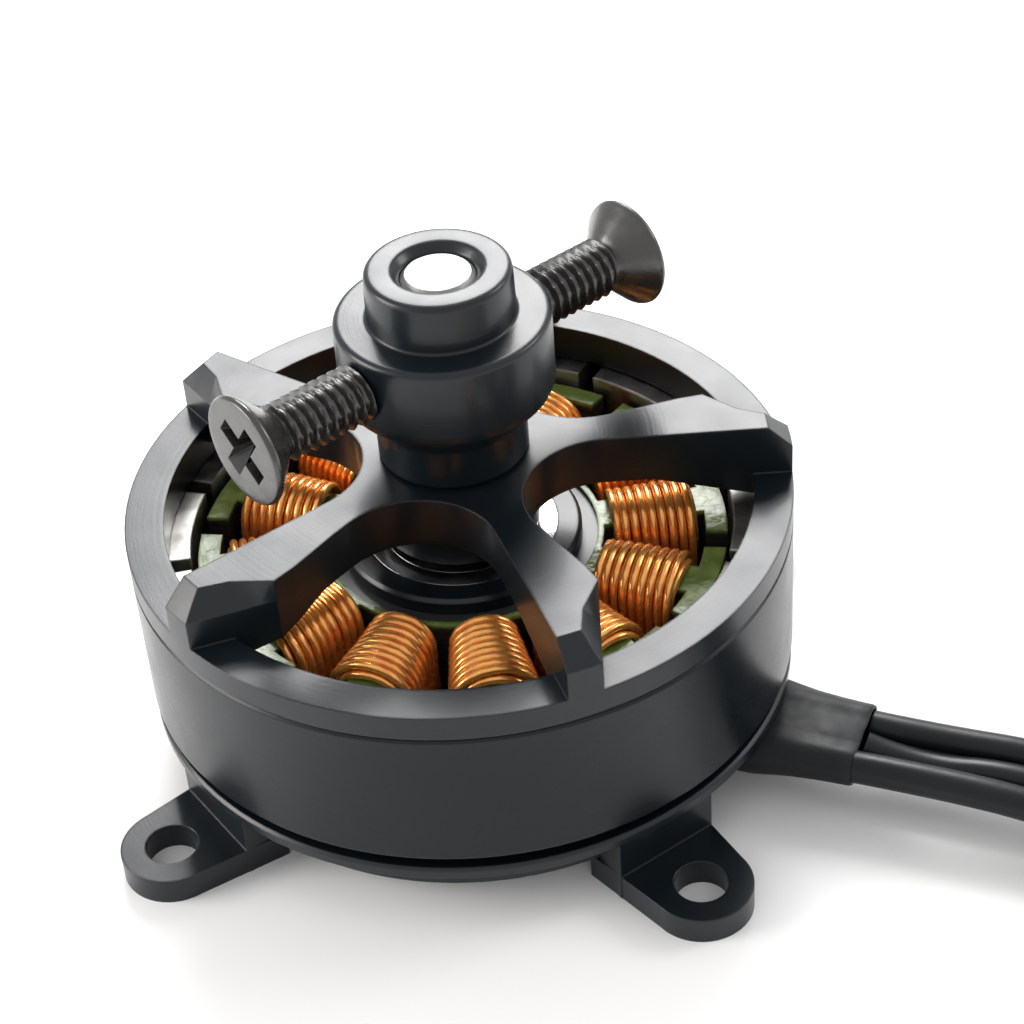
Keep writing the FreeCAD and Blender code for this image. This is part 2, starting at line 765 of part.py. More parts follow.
def make_lead(name, route, ring_shape):
    """One stretch of a lead, trimmed where it meets the wound coil."""
    spots = [lead_spot(point) for point in route]
    path = rounded_path(spots, name)
    section = Part.Wire([Part.Circle(spots[0], spots[1] - spots[0], size("lead_radius")).toShape()])
    tube = path.makePipeShell([section], True, False)
    whole = math.pi * size("lead_radius") ** 2 * path.Length
    print(f"{name}: volume is {tube.Volume / whole:.4f} of section times length {path.Length:.1f} mm")
    trimmed = sorted(tube.cut(ring_shape).Solids, key=lambda solid: solid.Volume)
    print(f"{name}: volumes after the coil is cut away {[round(s.Volume, 2) for s in trimmed]}")
    lead = doc.addObject("Part::Feature", name)
    lead.Label = name
    lead.Shape = trimmed[-1]
    lead.Placement = FreeCAD.Placement(MIDDLE, FreeCAD.Rotation(UP, 0))
    nodes.append(lead)


def make_lead_sleeve():
    """Heat-shrink sleeve that gathers the three leads where they leave the base."""
    body = new_body("lead_sleeve")
    sides = [("sleeve_start", "sleeve_root_half"), ("sleeve_root", "sleeve_root_half"),
             ("sleeve_waist", "sleeve_waist_half"), ("sleeve_end", "sleeve_half")]
    plan = new_sketch(body, "sleeve_plan", "XY_Plane", lift="sleeve_height - sleeve_thick / 2")
    add_outline(plan, [(along, f"-{half}") for along, half in sides] + sides[::-1])
    pad(body, "sleeve", plan, "sleeve_thick")
    round_edges(body, "sleeve_sides", FreeCAD.Vector(1, 0, 0), "sleeve_thick / 2 - 0.05")
    place(body, turn="lead_turn")


def make_wound_coil():
    """The wound length of the three leads, and the tie that holds it."""
    reach = "lead_spacing + lead_radius"
    coil = ring("lead_coil", f"turn_radius - {reach}", f"turn_radius + {reach}", "coil_low", "coil_top")
    middle_x, middle_y = rotated("coil_along", "coil_aside", "lead_turn")
    place(coil, middle_x, middle_y)
    tie = new_body("coil_tie")
    plan = new_sketch(tie, "band_plan", "XZ_Plane")
    add_box(plan, "tie_inner - tie_wall", "tie_outer + tie_wall", "tie_low - tie_wall",
            "tie_top + tie_wall")
    pad(tie, "band", plan, "2 * tie_half", both_ways=True)
    hole_plan = new_sketch(tie, "coil_hole_plan", "XZ_Plane")
    add_box(hole_plan, "tie_inner", "tie_outer", "tie_low", "tie_top")
    pocket(tie, "coil_hole", hole_plan, "4 * tie_half", both_ways=True)
    place(tie, middle_x, middle_y, "tie_turn")
    return coil


def lay_along(piece, route):
    """Put a piece that was turned about Z at a route's end, pointing the way the route ends."""
    before, end = [lead_spot(point) for point in route[-2:]]
    piece.Placement = FreeCAD.Placement(end, FreeCAD.Rotation(UP, end - before))


def make_bullet(name, route):
    """A bullet connector with its solder cup towards the lead, and its heat-shrink."""
    bullet = turned(name, [
        ("0", "0"),
        ("bullet_radius", "0"),
        ("bullet_radius", "bullet_cup"),
        ("bullet_neck", "bullet_step"),
        ("bullet_bulge", "bullet_bulge_at"),
        ("bullet_neck", "bullet_shoulder"),
        ("bullet_tip", "bullet_length"),
        ("0", "bullet_length"),
    ])
    lay_along(bullet, route)
    shrink = turned(name + "_shrink", [
        ("lead_radius", "-shrink_back"),
        ("bullet_radius", "-shrink_back"),
        ("shrink_radius", "-shrink_back + shrink_taper"),
        ("shrink_radius", "shrink_front"),
        ("bullet_radius", "shrink_front"),
        ("bullet_radius", "0"),
        ("lead_radius", "0"),
    ])
    lay_along(shrink, route)


def make_leads():
    """Sleeve, leads, wound coil, tie and connectors."""
    make_lead_sleeve()
    coil = make_wound_coil()
    for name, route in LEAD_ROUTES.items():
        make_lead(name, route, coil.Shape)
    for letter in "abc":
        make_bullet(f"bullet_{letter}", LEAD_ROUTES[f"lead_{letter}_tail"])


# ---- The whole motor ----------------------------------------------------------------------------

def check_document():
    """Stop if any object failed or any sub-part has no sound shape."""
    for item in doc.Objects:
        if "Invalid" in item.State or "Error" in item.State:
            raise RuntimeError(f"{item.Label} failed: {item.State}")
    for node in nodes:
        if node.Shape.isNull() or not node.Shape.isValid():
            raise RuntimeError(f"{node.Label} has no sound shape")


def write_parts():
    """One STEP file for each sub-part."""
    os.makedirs("parts", exist_ok=True)
    for node in nodes:
        node.Shape.exportStep(f"parts/{node.Label}.step")
        print(f"{node.Label}: {len(node.Shape.Solids)} solid(s), {node.Shape.Volume:.2f} cubic mm")


def main():
    """Build every sub-part, check the document and write the files."""
    fill_sheet()
    make_base()
    make_shaft()
    make_bearing("lower_bearing", "lower_bearing_low")
    make_bearing("upper_bearing", "upper_bearing_low")
    make_stator()
    make_bell_cap()
    make_flux_ring()
    make_magnets("magnets_north", "magnet_turn")
    make_magnets("magnets_south", "magnet_turn + magnet_pitch")
    make_prop_saver()
    make_prop_screws()
    make_leads()
    doc.recompute()
    check_document()
    write_parts()


main()
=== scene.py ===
"""Looks of the brushless outrunner motor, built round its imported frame.

Shapes are worked out in millimetres on the motor's axis and turned into metres by MM.
"""
import json
import math
import random

import bpy
from mathutils import Matrix, Vector


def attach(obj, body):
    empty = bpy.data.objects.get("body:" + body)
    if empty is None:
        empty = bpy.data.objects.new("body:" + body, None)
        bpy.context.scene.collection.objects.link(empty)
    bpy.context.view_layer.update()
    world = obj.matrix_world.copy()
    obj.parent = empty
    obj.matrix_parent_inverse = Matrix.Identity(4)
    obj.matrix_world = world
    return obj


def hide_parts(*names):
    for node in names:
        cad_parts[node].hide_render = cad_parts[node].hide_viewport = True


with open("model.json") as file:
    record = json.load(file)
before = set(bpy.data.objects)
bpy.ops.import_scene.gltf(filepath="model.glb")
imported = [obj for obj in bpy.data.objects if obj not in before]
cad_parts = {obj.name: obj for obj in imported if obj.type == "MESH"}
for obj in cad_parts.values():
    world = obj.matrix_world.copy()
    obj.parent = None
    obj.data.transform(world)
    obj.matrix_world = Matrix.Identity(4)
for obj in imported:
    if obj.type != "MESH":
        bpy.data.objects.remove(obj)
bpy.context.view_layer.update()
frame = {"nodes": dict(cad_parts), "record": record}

MM = 0.001
FULL = 2 * math.pi
SEED = 22

# The camera, placed in the row's frame.
CAMERA_PLACE = (0.01857, -0.07960, 0.07554)
CAMERA_RIGHT = (0.98722, 0.14852, -0.05785)
CAMERA_UP = (-0.04811, 0.62372, 0.78016)
CAMERA_BACK = (0.15195, -0.76741, 0.62290)
CAMERA_LENS = 88.75
CAMERA_SHIFT = (-0.0148, -0.0024)

# The stator's windings, as in the CAD.
STATOR_TURN = 17.3
COIL_COUNT = 12
COIL_INNER = 6.0
COIL_OUTER = 9.9
COIL_INNER_HALF = 1.45
COIL_OUTER_HALF = 2.0
COIL_LOW = 2.33
COIL_TOP = 10.37
WIRE_RADIUS = 0.185

# The prop saver: the heights of its steps.
SAVER_LOW = 14.15
NECK_TOP = 16.1
FLARE_TOP = 17.3
SHOULDER_TOP = 20.6
COLLAR_TOP = 22.7

# The clamp screws: where they stand, their thread, and distances along the screw from the axis.
SCREW_TURN = 48.7
SCREW_HEIGHT = 18.95
SCREW_TIP = 1.6
THREAD_END = 8.1
THREAD_STEP = 0.05
THREAD_PITCH = 0.45
THREAD_CREST = 1.245
THREAD_ROOT = 0.97
RECESS_TURNS = (24, 55)

# The leads: their direction, their coil and the routes that part.py also has, in millimetres.
LEAD_TURN = -12.0
LEAD_RADIUS = 0.675
SLEEVE_HEIGHT = 2.2
SLEEVE_THICK = 1.78
COIL_MIDDLE = (37.0, -8.1)
COIL_LEVELS = (1.125, 2.475)
# In degrees: where a lead climbs to the second layer, its whole sweep, and the step between points.
CLIMB = (240.0, 295.0)
COIL_SWEEP = 495.0
TURN_STEP = 22.5
LEADS = {
    "a": {"radius": 6.65, "length": 0.091,
          "out": [(17.3, -1.42, 2.30), (20.6, -1.43, 2.42), (25.0, -1.52, 2.35), (30.1, -1.50, 1.125),
                  (35.1, -1.45, 1.125)],
          "tail": [(38.5, -15.9, 2.4), (35.2, -18.9, 1.6), (31.5, -21.2, 1.27)]},
    "b": {"radius": 8.10, "length": 0.102,
          "out": [(17.3, 0.0, 2.10), (19.7, 0.02, 1.42), (23.6, 0.08, 2.18), (29.4, 0.05, 1.125),
                  (35.1, 0.0, 1.125)],
          "tail": [(40.0, -17.0, 2.0), (37.3, -20.2, 1.27), (34.5, -23.2, 1.27)]},
    "c": {"radius": 9.55, "length": 0.111,
          "out": [(17.3, 1.42, 2.00), (20.3, 1.43, 1.97), (24.6, 1.52, 2.18), (29.9, 1.50, 1.125),
                  (35.1, 1.45, 1.125)],
          "tail": [(42.15, -17.15, 1.9), (40.6, -19.6, 1.27), (39.2, -22.0, 1.27)]},
}


# ---- Camera, light and floor --------------------------------------------------------------------

def make_camera():
    """The camera at the picture's viewing angle."""
    data = bpy.data.cameras.new("camera")
    data.lens = CAMERA_LENS
    data.sensor_width = 36.0
    data.shift_x, data.shift_y = CAMERA_SHIFT
    data.clip_start = 0.001
    data.clip_end = 10.0
    camera = bpy.data.objects.new("camera", data)
    bpy.context.scene.collection.objects.link(camera)
    turn = Matrix((CAMERA_RIGHT, CAMERA_UP, CAMERA_BACK)).transposed()
    camera.matrix_world = Matrix.Translation(CAMERA_PLACE) @ turn.to_4x4()
    bpy.context.scene.camera = camera


def make_light(name, place, size, power, color=(1, 1, 1)):
    """A square soft light that looks at the middle of the motor."""
    data = bpy.data.lights.new(name, "AREA")
    data.shape = "SQUARE"
    data.size = size
    data.energy = power
    data.color = color
    light = bpy.data.objects.new(name, data)
    bpy.context.scene.collection.objects.link(light)
    light.location = place
    aim = Vector((0, 0, 0.01)) - Vector(place)
    light.rotation_euler = aim.to_track_quat("-Z", "Y").to_euler()


def make_stage():
    """A pale flat floor, three soft lights and a white surround."""
    data = bpy.data.meshes.new("floor")
    reach = 3.0
    data.from_pydata([(-reach, -reach, 0), (reach, -reach, 0), (reach, reach, 0), (-reach, reach, 0)], [],
                     [(0, 1, 2, 3)])
    floor = bpy.data.objects.new("floor", data)
    bpy.context.scene.collection.objects.link(floor)
    look = Look("floor_paper", (0.93, 0.93, 0.925), 0.65)
    look.mottle(30.0, 0.02)
    data.materials.append(look.material)
    world = bpy.data.worlds.new("surround")
    world.use_nodes = True
    sky = world.node_tree.nodes["Background"]
    sky.inputs["Color"].default_value = (1, 1, 1, 1)
    sky.inputs["Strength"].default_value = 0.84
    bpy.context.scene.world = world
    make_light("key", (-0.035, 0.25, 0.21), 0.16, 1.1)
    make_light("fill", (-0.30, -0.08, 0.12), 0.18, 0.95, (1.0, 0.97, 0.94))
    make_light("rim", (0.26, 0.12, 0.18), 0.12, 0.25)
    bpy.context.scene.view_settings.view_transform = "Standard"


# ---- Materials ----------------------------------------------------------------------------------

class Look:
    """A procedural material and short ways to add to it. Lengths in textures are in metres."""

    def __init__(self, name, color, roughness, metallic=0.0, **sockets):
        self.material = bpy.data.materials.new(name)
        self.material.use_nodes = True
        self.tree = self.material.node_tree
        self.shader = self.tree.nodes["Principled BSDF"]
        self.color = self.constant_color(color)
        self.roughness = self.value(roughness)
        self.normal = None
        self.shader.inputs["Metallic"].default_value = metallic
        for socket, amount in sockets.items():
            self.shader.inputs[socket.replace("_", " ")].default_value = amount
        self.join()

    def add(self, kind, **settings):
        """A new node with its settings."""
        node = self.tree.nodes.new(kind)
        for name, amount in settings.items():
            setattr(node, name, amount)
        return node

    def link(self, source, target):
        """Join an output socket to an input socket."""
        self.tree.links.new(source, target)

    def join(self):
        """Join the colour, roughness and normal made so far to the shader."""
        self.link(self.color, self.shader.inputs["Base Color"])
        self.link(self.roughness, self.shader.inputs["Roughness"])
        if self.normal:
            self.link(self.normal, self.shader.inputs["Normal"])

    def constant_color(self, color):
        """An output that holds one colour."""
        node = self.add("ShaderNodeRGB")
        node.outputs[0].default_value = (*color, 1)
        return node.outputs[0]

    def value(self, amount):
        """An output that holds one number."""
        node = self.add("ShaderNodeValue")
        node.outputs[0].default_value = amount
        return node.outputs[0]

    def math(self, operation, first, second=0.5):
        """One sum on outputs or numbers."""
        node = self.add("ShaderNodeMath", operation=operation)
        for socket, item in zip(node.inputs, (first, second)):
            if isinstance(item, (int, float)):
                socket.default_value = item
            else:
                self.link(item, socket)
        return node.outputs[0]

    def noise(self, scale, detail=3.0, stretch=(1, 1, 1), distortion=0.0):
        """Noise over the object's own coordinates."""
        place = self.add("ShaderNodeTexCoord").outputs["Object"]
        mapping = self.add("ShaderNodeMapping")
        mapping.inputs["Scale"].default_value = stretch
        self.link(place, mapping.inputs["Vector"])
        node = self.add("ShaderNodeTexNoise")
        node.inputs["Scale"].default_value = scale
        node.inputs["Detail"].default_value = detail
        node.inputs["Distortion"].default_value = distortion
        self.link(mapping.outputs[0], node.inputs["Vector"])
        return node.outputs["Fac"]

    def ramp(self, source, low, high, from_value=0.0, to_value=1.0):
        """A source stretched between two of its values, and clamped."""
        node = self.add("ShaderNodeMapRange")
        for socket, amount in (("From Min", low), ("From Max", high), ("To Min", from_value),
                               ("To Max", to_value)):
            node.inputs[socket].default_value = amount
        self.link(source, node.inputs["Value"])
        return node.outputs["Result"]

    def tint(self, mask, color):
        """Mix a colour in where the mask is one."""
        node = self.add("ShaderNodeMix", data_type="RGBA")
        self.link(mask, node.inputs["Factor"])
        self.link(self.color, node.inputs["A"])
        node.inputs["B"].default_value = (*color, 1)
        self.color = node.outputs["Result"]
        self.join()

    def mottle(self, scale, spread):
        """Let the roughness wander by a spread each way."""
        drift = self.ramp(self.noise(scale, 4.0), 0.3, 0.7, -spread, spread)
        self.roughness = self.math("ADD", self.roughness, drift)
        self.join()

    def bump(self, height, distance):
        """Raise the surface by a height output times a distance."""
        node = self.add("ShaderNodeBump")
        node.inputs["Distance"].default_value = distance
        node.inputs["Strength"].default_value = 1.0
        self.link(height, node.inputs["Height"])
        if self.normal:
            self.link(self.normal, node.inputs["Normal"])
        self.normal = node.outputs["Normal"]
        self.join()

    def soften_edges(self, radius):
        """Round the shading of sharp edges."""
        node = self.add("ShaderNodeBevel", samples=6)
        node.inputs["Radius"].default_value = radius
        self.normal = node.outputs["Normal"]
        self.join()

    def wear_edges(self, radius, color, amount):
        """Lighten sharp edges, where the finish is thin or rubbed."""
        bevel = self.add("ShaderNodeBevel", samples=6)
        bevel.inputs["Radius"].default_value = radius
        face = self.add("ShaderNodeNewGeometry").outputs["True Normal"]
        dot = self.add("ShaderNodeVectorMath", operation="DOT_PRODUCT")
        self.link(bevel.outputs["Normal"], dot.inputs[0])
        self.link(face, dot.inputs[1])
        edge = self.ramp(dot.outputs["Value"], 0.97, 0.80, 0.0, amount)
        patch = self.ramp(self.noise(900.0, 3.0), 0.35, 0.65)
        self.tint(self.math("MULTIPLY", edge, patch), color)

    def turning(self, lines, depth):
        """Fine lathe marks round the motor's axis."""
        place = self.add("ShaderNodeTexCoord").outputs["Object"]
        parts = self.add("ShaderNodeSeparateXYZ")
        self.link(place, parts.inputs[0])
        across = self.math("POWER", parts.outputs["X"], 2.0)
        along = self.math("POWER", parts.outputs["Y"], 2.0)
        radius = self.math("SQRT", self.math("ADD", across, along))
        joined = self.add("ShaderNodeCombineXYZ")
        self.link(radius, joined.inputs["X"])
        self.link(parts.outputs["Z"], joined.inputs["Y"])
        marks = self.add("ShaderNodeTexNoise")
        marks.inputs["Scale"].default_value = lines
        marks.inputs["Detail"].default_value = 2.0
        self.link(joined.outputs[0], marks.inputs["Vector"])
        self.bump(marks.outputs["Fac"], depth)


def make_looks():
    """Every material of the motor, by the record's slot."""
    looks = {}
    anodised = Look("anodised_black", (0.0030, 0.0058, 0.0085), 0.33, IOR=1.5, Specular_IOR_Level=0.36,
                    Coat_Weight=0.15, Coat_Roughness=0.14)
    anodised.mottle(400.0, 0.05)
    anodised.soften_edges(0.13 * MM)
    anodised.turning(9000.0, 0.004 * MM)
    anodised.bump(anodised.noise(9000.0, 2.0), 0.003 * MM)
    anodised.wear_edges(0.09 * MM, (0.045, 0.045, 0.048), 0.5)
    looks["anodised_black"] = anodised

    coated = Look("coated_steel_black", (0.0026, 0.0048, 0.0070), 0.27, IOR=1.5, Specular_IOR_Level=0.32)
    coated.mottle(300.0, 0.05)
    coated.soften_edges(0.13 * MM)
    coated.turning(7000.0, 0.003 * MM)
    coated.bump(coated.noise(7000.0, 2.0), 0.002 * MM)
    coated.wear_edges(0.07 * MM, (0.035, 0.035, 0.038), 0.5)
    looks["coated_steel_black"] = coated

    steel = Look("ground_steel", (0.29, 0.29, 0.285), 0.46, metallic=1.0)
    steel.mottle(2500.0, 0.10)
    steel.soften_edges(0.06 * MM)
    steel.turning(26000.0, 0.006 * MM)
    steel.tint(steel.ramp(steel.noise(1800.0, 4.0), 0.45, 0.7, 0.0, 0.5), (0.26, 0.26, 0.26))
    looks["ground_steel"] = steel

    spring = Look("spring_steel", (0.14, 0.14, 0.15), 0.35, metallic=1.0)
    spring.mottle(1500.0, 0.08)
    spring.bump(spring.noise(6000.0), 0.003 * MM)
    looks["spring_steel"] = spring

    nickel = Look("magnet_nickel", (0.44, 0.43, 0.41), 0.38, metallic=1.0)
    nickel.mottle(1200.0, 0.10)
    nickel.soften_edges(0.16 * MM)
    nickel.tint(nickel.ramp(nickel.noise(700.0), 0.42, 0.70, 0.0, 0.8), (0.12, 0.115, 0.105))
    looks["magnet_nickel"] = nickel

    plates = Look("lamination", (0.10, 0.10, 0.10), 0.42, metallic=0.8)
    layers = plates.noise(1.0, 1.0, stretch=(0, 0, 5200.0))
    plates.bump(layers, 0.03 * MM)
    plates.tint(plates.ramp(layers, 0.4, 0.6, 0.0, 0.6), (0.03, 0.03, 0.03))
    looks["lamination"] = plates

    epoxy = Look("epoxy_green", (0.110, 0.165, 0.030), 0.34, IOR=1.5, Coat_Weight=0.2)
    epoxy.mottle(1500.0, 0.06)
    epoxy.soften_edges(0.18 * MM)
    epoxy.bump(epoxy.noise(1200.0, 3.0), 0.14 * MM)
    # Lighter yellow-green patches by noise: partly tone variation in the coat, partly painted highlight
    # standing in for glossy glare.
    epoxy.tint(epoxy.ramp(epoxy.noise(1100.0), 0.45, 0.75, 0.0, 0.8), (0.28, 0.34, 0.09))
    looks["epoxy_green"] = epoxy

    copper = Look("copper_wire", (1.0, 0.45, 0.11), 0.24, metallic=0.7, Coat_Weight=0.5)
    copper.mottle(2200.0, 0.06)
    # Darker orange-brown patches by noise: partly enamel tone variation, partly painted shade standing in
    # for the dark gaps between turns.
    copper.tint(copper.ramp(copper.noise(1600.0, 4.0), 0.42, 0.72, 0.0, 0.65), (0.72, 0.17, 0.025))
    copper.bump(copper.noise(5000.0, 2.0), 0.006 * MM)
    looks["copper_wire"] = copper

    bearing = Look("bearing_steel", (0.58, 0.58, 0.59), 0.20, metallic=1.0)
    bearing.mottle(1500.0, 0.06)
    bearing.soften_edges(0.06 * MM)
    bearing.turning(16000.0, 0.002 * MM)
    looks["bearing_steel"] = bearing

    brass = Look("cage_brass", (0.62, 0.43, 0.16), 0.30, metallic=1.0)
    brass.mottle(1500.0, 0.08)
    brass.bump(brass.noise(5000.0), 0.003 * MM)
    looks["cage_brass"] = brass

    oxide = Look("screw_black", (0.015, 0.0135, 0.0115), 0.27, IOR=1.6, Specular_IOR_Level=0.75)
    oxide.mottle(1500.0, 0.08)
    oxide.soften_edges(0.05 * MM)
    oxide.bump(oxide.noise(9000.0, 3.0), 0.004 * MM)
    oxide.wear_edges(0.05 * MM, (0.06, 0.055, 0.05), 0.5)
    looks["screw_black"] = oxide

    shrink = Look("heat_shrink", (0.006, 0.0078, 0.0088), 0.5, IOR=1.45, Specular_IOR_Level=0.32)
    shrink.mottle(700.0, 0.08)
    shrink.bump(shrink.noise(2600.0, 4.0), 0.012 * MM)
    shrink.bump(shrink.noise(380.0, 2.0, distortion=0.6), 0.10 * MM)
    looks["heat_shrink"] = shrink

    nylon = Look("tie_nylon", (0.012, 0.012, 0.012), 0.42, Specular_IOR_Level=0.4)
    nylon.mottle(800.0, 0.06)
    nylon.bump(nylon.noise(4000.0), 0.006 * MM)
    looks["tie_nylon"] = nylon

    silicone = Look("lead_silicone", (0.0040, 0.0060, 0.0072), 0.40, IOR=1.42, Specular_IOR_Level=0.4)
    silicone.mottle(500.0, 0.08)
    silicone.bump(silicone.noise(3000.0, 4.0), 0.008 * MM)
    looks["lead_silicone"] = silicone

    gold = Look("bullet_gold", (0.90, 0.62, 0.24), 0.20, metallic=1.0)
    gold.mottle(1500.0, 0.07)
    gold.bump(gold.noise(4000.0), 0.003 * MM)
    looks["bullet_gold"] = gold
    return looks


# ---- Mesh helpers -------------------------------------------------------------------------------

def add_piece(name, verts, faces, slot, body, replaced=()):
    """A smooth mesh piece, in metres, that rides on a body and stands for CAD nodes."""
    data = bpy.data.meshes.new(name)
    data.from_pydata([tuple(v) for v in verts], [], faces)
    data.validate()
    data.materials.append(looks[slot].material)
    data.shade_smooth()
    piece = bpy.data.objects.new(name, data)
    bpy.context.scene.collection.objects.link(piece)
    finish_piece(piece, body, replaced)
    return piece


def finish_piece(piece, body, replaced=()):
    """Ride a piece on its body, and hide the CAD nodes it stands for."""
    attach(piece, body)
    if replaced:
        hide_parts(*replaced)


def grid_faces(rows, columns, first=0):
    """Faces over closed rings of points, each ring joined to the next."""
    faces = []
    for row in range(rows - 1):
        below = row + 1
        for column in range(columns):
            right = (column + 1) % columns
            faces.append((first + row * columns + column, first + row * columns + right,
                          first + below * columns + right, first + below * columns + column))
    return faces


def ring_faces(first, count, flip=False):
    """One face over a ring of points."""
    loop = list(range(first, first + count))
    return tuple(reversed(loop)) if flip else tuple(loop)


def lathe(profile, segments, to_place=Matrix.Identity(4)):
    """Points and faces of a closed (radius, height) profile, in millimetres, turned about Z."""
    verts = []
    for radius, height in profile:
        for step in range(segments):
            angle = FULL * step / segments
            spot = Vector((radius * math.cos(angle), radius * math.sin(angle), height))
            verts.append(to_place @ spot * MM)
    faces = grid_faces(len(profile), segments)
    return verts, faces


def rounded_profile(corners, steps=4):
    """A profile whose corners, given as (radius, height, rounding), are eased by arcs."""
    points = []
    for index, (radius, height, rounding) in enumerate(corners):
        here = Vector((radius, height))
        if not rounding or index in (0, len(corners) - 1):
            points.append(tuple(here))
            continue
        before = (Vector(corners[index - 1][:2]) - here).normalized()
        after = (Vector(corners[index + 1][:2]) - here).normalized()
        for step in range(steps + 1):
            share = step / steps
            start = here + before * rounding
            end = here + after * rounding
            low = start.lerp(here, share)
            high = here.lerp(end, share)
            points.append(tuple(low.lerp(high, share)))
    return points


def towards(turn, height=0.0):
    """A frame on the motor's axis whose X points at an azimuth, in millimetres."""
    return Matrix.Translation((0, 0, height)) @ Matrix.Rotation(math.radians(turn), 4, "Z")


# ---- Windings -----------------------------------------------------------------------------------

def band_outline(half_wide, half_high, rounding, count):
    """Evenly spaced points and outward directions round a rounded rectangle."""
    flat_wide = half_wide - rounding
    flat_high = half_high - rounding
    arc = rounding * math.pi / 2
    total = 4 * (flat_wide + flat_high + arc)
    outline = []
    for step in range(count):
        outline.append(band_spot(total * step / count, flat_wide, flat_high, rounding, arc))
    return outline


def band_spot(way, flat_wide, flat_high, rounding, arc):
    """The point and outward direction a way along a rounded rectangle, from its right side's foot."""
    sides = [(2 * flat_high, (1, 0)), (2 * flat_wide, (0, 1)), (2 * flat_high, (-1, 0)),
             (2 * flat_wide, (0, -1))]
    corner_signs = [(1, 1), (-1, 1), (-1, -1), (1, -1)]
    for side, (length, (out_y, out_z)) in enumerate(sides):
        if way <= length:
            slide = way - length / 2
            y = out_y * (flat_wide + rounding) - out_z * slide
            z = out_z * (flat_high + rounding) + out_y * slide
            return (y, z), (out_y, out_z)
        way -= length
        if way <= arc:
            angle = side * math.pi / 2 + way / rounding
            sign_y, sign_z = corner_signs[side]
            out = (math.cos(angle), math.sin(angle))
            return (sign_y * flat_wide + rounding * out[0], sign_z * flat_high + rounding * out[1]), out
        way -= arc
    return (flat_wide + rounding, -flat_high), (1, 0)


def coil_half(x):
    """Half the width of a coil, which grows away from the axis."""
    share = (x - COIL_INNER) / (COIL_OUTER - COIL_INNER)
    return COIL_INNER_HALF + (COIL_OUTER_HALF - COIL_INNER_HALF) * share


def wire_layer(draw, start, end, inset, turns):
    """Points and faces of one layer of wire wound round a tooth that points along X."""
    per_turn = 44
    sides = 8
    middle = (COIL_TOP + COIL_LOW) / 2
    half_high = (COIL_TOP - COIL_LOW) / 2 - WIRE_RADIUS - inset
    count = int(turns * per_turn) + 1
    wobble = [draw.uniform(-0.03, 0.03) for _ in range(int(turns) + 2)]
    sag = [draw.uniform(0.0, 0.07) for _ in range(int(turns) + 2)]
    lean = draw.uniform(-0.04, 0.04)
    verts = []
    for step in range(count):
        turn_number, place = divmod(step, per_turn)
        share = place / per_turn
        drift = wobble[turn_number] * (1 - share) + wobble[turn_number + 1] * share
        drop = inset + sag[turn_number] * (1 - share) + sag[turn_number + 1] * share
        x = start + (end - start) * step / (count - 1) + drift
        x = min(max(x, COIL_INNER + WIRE_RADIUS), COIL_OUTER - WIRE_RADIUS)
        half_wide = coil_half(x) - WIRE_RADIUS - drop
        outline = band_outline(half_wide, half_high - drop + inset, half_wide - 0.12, per_turn)
        (y, z), (out_y, out_z) = outline[place]
        x = min(max(x + lean * y, COIL_INNER + WIRE_RADIUS), COIL_OUTER - WIRE_RADIUS)
        for side in range(sides):
            angle = FULL * side / sides
            reach = WIRE_RADIUS * math.cos(angle)
            verts.append(Vector((x + WIRE_RADIUS * math.sin(angle), y + reach * out_y,
                                 middle + z + reach * out_z)))
    faces = grid_faces(count, sides)
    faces.append(ring_faces(0, sides))
    faces.append(ring_faces((count - 1) * sides, sides, flip=True))
    return verts, faces


def make_windings():
    """Twelve coils of round wire: an inner and an outer layer round each tooth."""
    draw = random.Random(SEED)
    start = COIL_INNER + WIRE_RADIUS
    end = COIL_OUTER - WIRE_RADIUS
    turns = (end - start) / (2 * WIRE_RADIUS + 0.015)
    for number in range(COIL_COUNT):
        verts, faces = wire_layer(draw, start, end, 0.0, turns)
        inner_verts, inner_faces = wire_layer(draw, end, start, 2 * WIRE_RADIUS - 0.05, turns)
        shift = len(verts)
        verts += inner_verts
        faces += [tuple(index + shift for index in face) for face in inner_faces]
        turn = towards(STATOR_TURN + number * 360 / COIL_COUNT)
        add_piece(f"winding_{number + 1:02d}", [turn @ v * MM for v in verts], faces, "copper_wire",
                  "base", [f"coil_{number + 1:02d}"])


# ---- Prop saver and screws ----------------------------------------------------------------------

def make_saver():
    """The prop saver with its eased corners."""
    profile = rounded_profile([
        (1.5, SAVER_LOW, 0), (2.92, SAVER_LOW, 0), (3.05, 14.30, 0.04), (3.05, NECK_TOP, 0.3),
        (4.3, FLARE_TOP, 0.35), (4.3, SHOULDER_TOP, 0.28), (2.95, SHOULDER_TOP, 0.12),
        (2.9, COLLAR_TOP, 0.28), (1.85, COLLAR_TOP, 0.12), (1.52, 22.35, 0.1), (1.52, SHOULDER_TOP, 0)])
    profile.append(profile[0])
    verts, faces = lathe(profile, 128)
    add_piece("prop_saver_hub", verts, faces, "anodised_black", "rotor", ["prop_saver"])


def thread_radius(way, turn_share):
    """A metric thread's radius, a way along the screw and a share of a turn round it."""
    phase = (way / THREAD_PITCH - turn_share) % 1.0
    rise = min(1.0, abs(2 * phase - 1) * 1.7)
    return THREAD_ROOT + (THREAD_CREST - THREAD_ROOT) * (1 - rise) ** 0.9 if rise < 1 else THREAD_ROOT


